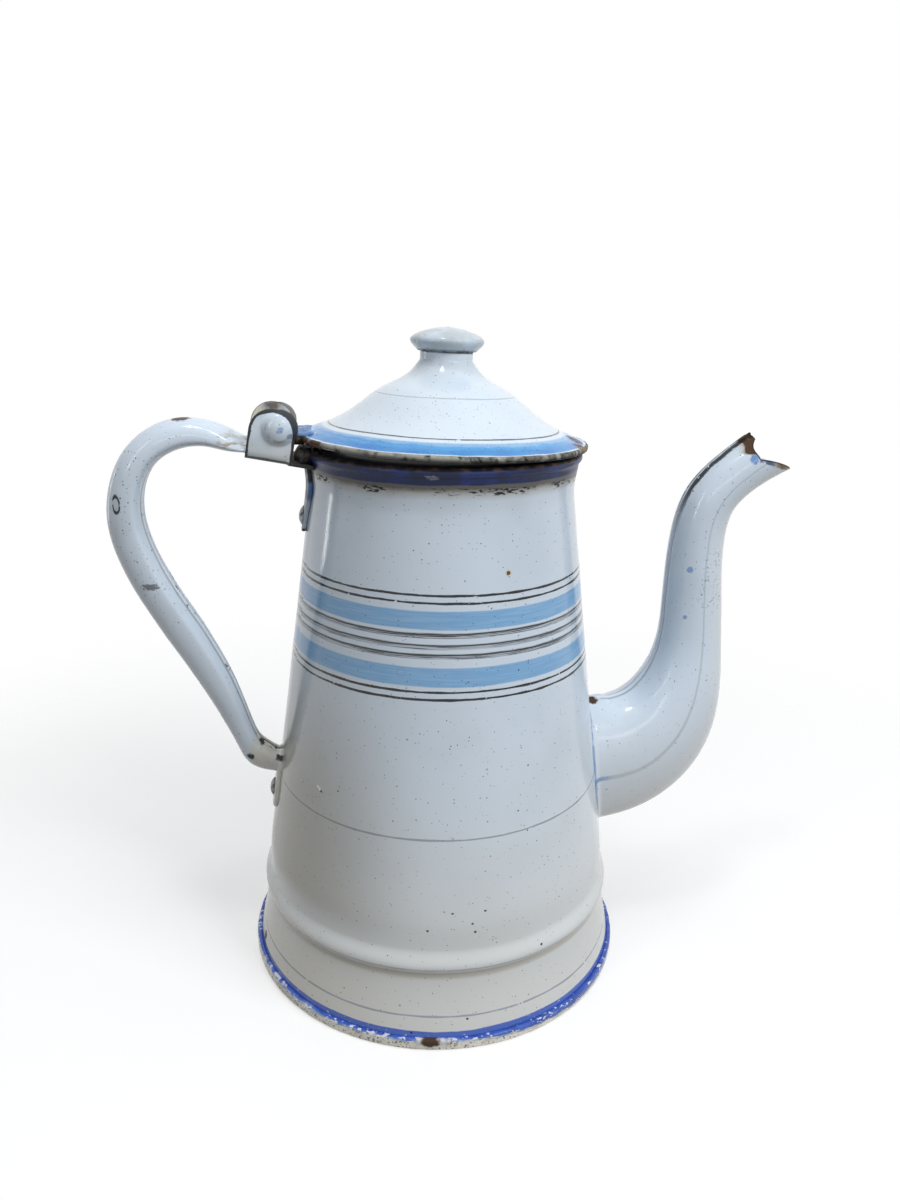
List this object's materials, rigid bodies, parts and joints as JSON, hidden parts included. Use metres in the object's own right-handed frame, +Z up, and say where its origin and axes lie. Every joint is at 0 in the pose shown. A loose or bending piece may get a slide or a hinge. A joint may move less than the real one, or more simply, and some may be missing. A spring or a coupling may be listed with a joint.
{
  "type": "coffee pot",
  "caption": "Enamelled sheet-steel coffee pot: conical body with painted bands, gooseneck spout, rolled handle and a domed lid that opens on a hinge above the handle.",
  "frame": {"origin": "centre of the standing ring, on the surface that the pot stands on", "axes": "+Z up, +X towards the spout, handle and hinge towards -X, hinge pin along Y"},
  "size_m": [0.2446, 0.142, 0.2322],
  "materials": {
    "white_enamel": "glossy vitreous enamel on sheet steel, bluish white with pin holes and chips",
    "blue_enamel": "glossy cobalt blue enamel on sheet steel, worn along the edge",
    "bare_steel": "plain drawn steel, darkened with age"
  },
  "bodies": {
    "pot": {"body_shell": "white_enamel", "bottom_pan": "blue_enamel", "spout_left": "white_enamel", "spout_right": "white_enamel", "handle": "white_enamel", "handle_rivet": "white_enamel", "hinge_bracket": "white_enamel", "bracket_rivet": "white_enamel", "hinge_pin": "bare_steel"},
    "lid": {"lid_shell": "white_enamel", "lid_collar": "white_enamel", "lid_hinge_leaf": "white_enamel", "lid_knob": "white_enamel"}
  },
  "joints": [
    {"name": "lid_hinge", "type": "hinge", "parent": "pot", "child": "lid", "pos_m": [-0.05557, 0, 0.19986], "axis": [0, -1, 0], "range_deg": [0, 110]}
  ]
}
